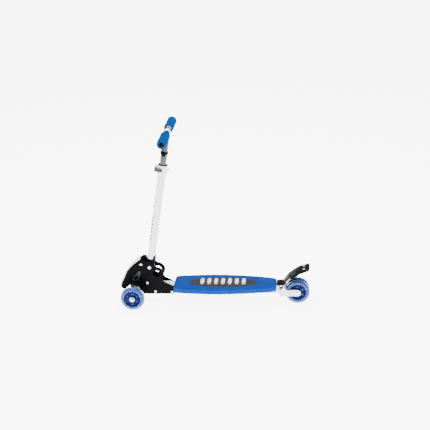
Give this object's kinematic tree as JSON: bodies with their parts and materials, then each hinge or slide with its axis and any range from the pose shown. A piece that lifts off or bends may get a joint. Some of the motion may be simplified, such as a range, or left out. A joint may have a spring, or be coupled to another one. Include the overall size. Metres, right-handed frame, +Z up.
{
  "type": "kick scooter",
  "caption": "Child's folding kick scooter that steers by leaning, with a tilting front truck, twin rear wheels, sliding handlebar and press-down fender brake.",
  "frame": {"origin": "on the floor under the middle of the bounding box, handlebar up and all four wheels down", "axes": "+X towards the rear wheels, +Y towards the rider's right, +Z up"},
  "size_m": [0.784, 0.308, 0.7531],
  "materials": {
    "deck_blue": "satin moulded plastic with a fine grain on top",
    "pad_grey": "matt, with small raised dots",
    "frame_white": "gloss powder coat",
    "plate_black": "satin powder coat",
    "cover_white": "gloss",
    "bolt_silver": "bright plated",
    "steel_zinc": "zinc plated",
    "rubber_black": "matt",
    "cast_aluminium": "cast, painted grey",
    "stem_black": "satin powder coat",
    "tube_white": "gloss powder coat",
    "tube_chrome": "polished",
    "grip_foam": "matt closed-cell foam",
    "plastic_black": "matt moulded",
    "fender_grey": "satin moulded",
    "tyre_clear": "clear cast polyurethane",
    "core_blue": "tinted, part see-through",
    "bearing_steel": "ground steel"
  },
  "bodies": {
    "deck_frame": {"deck": "deck_blue", "deck_pad": "pad_grey", "deck_screws": "bolt_silver", "fender_bracket": "plate_black", "fender_pin": "bolt_silver", "fold_bolt": "bolt_silver", "frame_beam": "frame_white", "kingpin": "bolt_silver", "nose_cover": "cover_white", "nose_plate_left": "plate_black", "nose_plate_right": "plate_black", "plate_bolts": "bolt_silver", "plate_spacers": "steel_zinc", "rear_axle": "bolt_silver", "rear_fork": "frame_white", "rear_spacers": "steel_zinc", "side_plate_left": "plate_black", "side_plate_right": "plate_black", "truck_bracket": "steel_zinc", "truck_rubbers": "rubber_black"},
    "truck": {"truck_hanger": "cast_aluminium", "front_axle": "bolt_silver", "front_axle_nuts": "bolt_silver", "front_spacers": "steel_zinc"},
    "front_left_wheel": {"front_left_tyre": "tyre_clear", "front_left_core": "core_blue", "front_left_bearings": "bearing_steel"},
    "front_right_wheel": {"front_right_tyre": "tyre_clear", "front_right_core": "core_blue", "front_right_bearings": "bearing_steel"},
    "rear_left_wheel": {"rear_left_tyre": "tyre_clear", "rear_left_core": "core_blue", "rear_left_bearings": "bearing_steel"},
    "rear_right_wheel": {"rear_right_tyre": "tyre_clear", "rear_right_core": "core_blue", "rear_right_bearings": "bearing_steel"},
    "stem": {"stem_socket": "stem_black", "stem_tube": "tube_white", "stem_rivet": "bolt_silver", "riser_sleeve": "plastic_black", "clamp_collar": "tube_white", "clamp_skewer": "steel_zinc", "clamp_knob": "plastic_black"},
    "lever": {"clamp_lever": "steel_zinc"},
    "latch": {"fold_latch": "plastic_black"},
    "riser": {"riser_tube": "tube_chrome", "bar_centre": "tube_white", "bar_rings": "plastic_black", "handle_clip": "plastic_black"},
    "height_stud": {"height_button": "plastic_black"},
    "bar_stud": {"bar_button": "plastic_black"},
    "left_handle": {"handle_left": "tube_chrome", "grip_left": "grip_foam", "end_plug_left": "plastic_black"},
    "right_handle": {"handle_right": "tube_chrome", "grip_right": "grip_foam", "end_plug_right": "plastic_black"},
    "fender_brake": {"fender": "fender_grey", "brake_pad": "rubber_black", "fender_rivets": "bolt_silver"}
  },
  "joints": [
    {"name": "truck_lean", "type": "hinge", "parent": "deck_frame", "child": "truck", "pos_m": [-0.31658, 0, 0.06267], "axis": [-0.66, 0, 0.7513], "range_deg": [-14, 14], "stiffness_Nm_per_rad": 12},
    {"name": "front_left_spin", "type": "hinge", "parent": "truck", "child": "front_left_wheel", "pos_m": [-0.331, -0.084, 0.05], "axis": [0, 1, 0], "continuous": true},
    {"name": "front_right_spin", "type": "hinge", "parent": "truck", "child": "front_right_wheel", "pos_m": [-0.331, 0.084, 0.05], "axis": [0, 1, 0], "continuous": true},
    {"name": "rear_left_spin", "type": "hinge", "parent": "deck_frame", "child": "rear_left_wheel", "pos_m": [0.342, -0.0143, 0.05], "axis": [0, 1, 0], "continuous": true},
    {"name": "rear_right_spin", "type": "hinge", "parent": "deck_frame", "child": "rear_right_wheel", "pos_m": [0.342, 0.0143, 0.05], "axis": [0, 1, 0], "continuous": true},
    {"name": "stem_fold", "type": "hinge", "parent": "deck_frame", "child": "stem", "pos_m": [-0.2626, 0, 0.161], "axis": [0, 1, 0], "range_deg": [0, 79.6]},
    {"name": "latch_release", "type": "hinge", "parent": "deck_frame", "child": "latch", "pos_m": [-0.297, 0, 0.1745], "axis": [0, 1, 0], "range_deg": [-12, 0], "stiffness_Nm_per_rad": 0.6, "springref_deg": 5.73},
    {"name": "lever_open", "type": "hinge", "parent": "stem", "child": "lever", "pos_m": [-0.20903, -0.019, 0.58805], "axis": [0.1805, 0, 0.9836], "range_deg": [-125, 0]},
    {"name": "height_slide", "type": "slide", "parent": "stem", "child": "riser", "axis": [0.1805, 0, 0.9836], "range_m": [-0.041, 0], "deforming": ["height_button"]},
    {"name": "height_button_press", "type": "slide", "parent": "riser", "child": "height_stud", "axis": [0.9836, 0, -0.1805], "range_m": [0, 0.0052], "stiffness_N_per_m": 500},
    {"name": "bar_button_press", "type": "slide", "parent": "riser", "child": "bar_stud", "axis": [0.9836, 0, -0.1805], "range_m": [0, 0.0024], "stiffness_N_per_m": 500},
    {"name": "left_handle_pull", "type": "slide", "parent": "riser", "child": "left_handle", "axis": [0, -1, 0], "range_m": [0, 0.034]},
    {"name": "right_handle_pull", "type": "slide", "parent": "riser", "child": "right_handle", "axis": [0, 1, 0], "range_m": [0, 0.034]},
    {"name": "fender_press", "type": "hinge", "parent": "deck_frame", "child": "fender_brake", "pos_m": [0.275, 0, 0.075], "axis": [0, 1, 0], "range_deg": [0, 10], "stiffness_Nm_per_rad": 8, "springref_deg": -3.44}
  ]
}
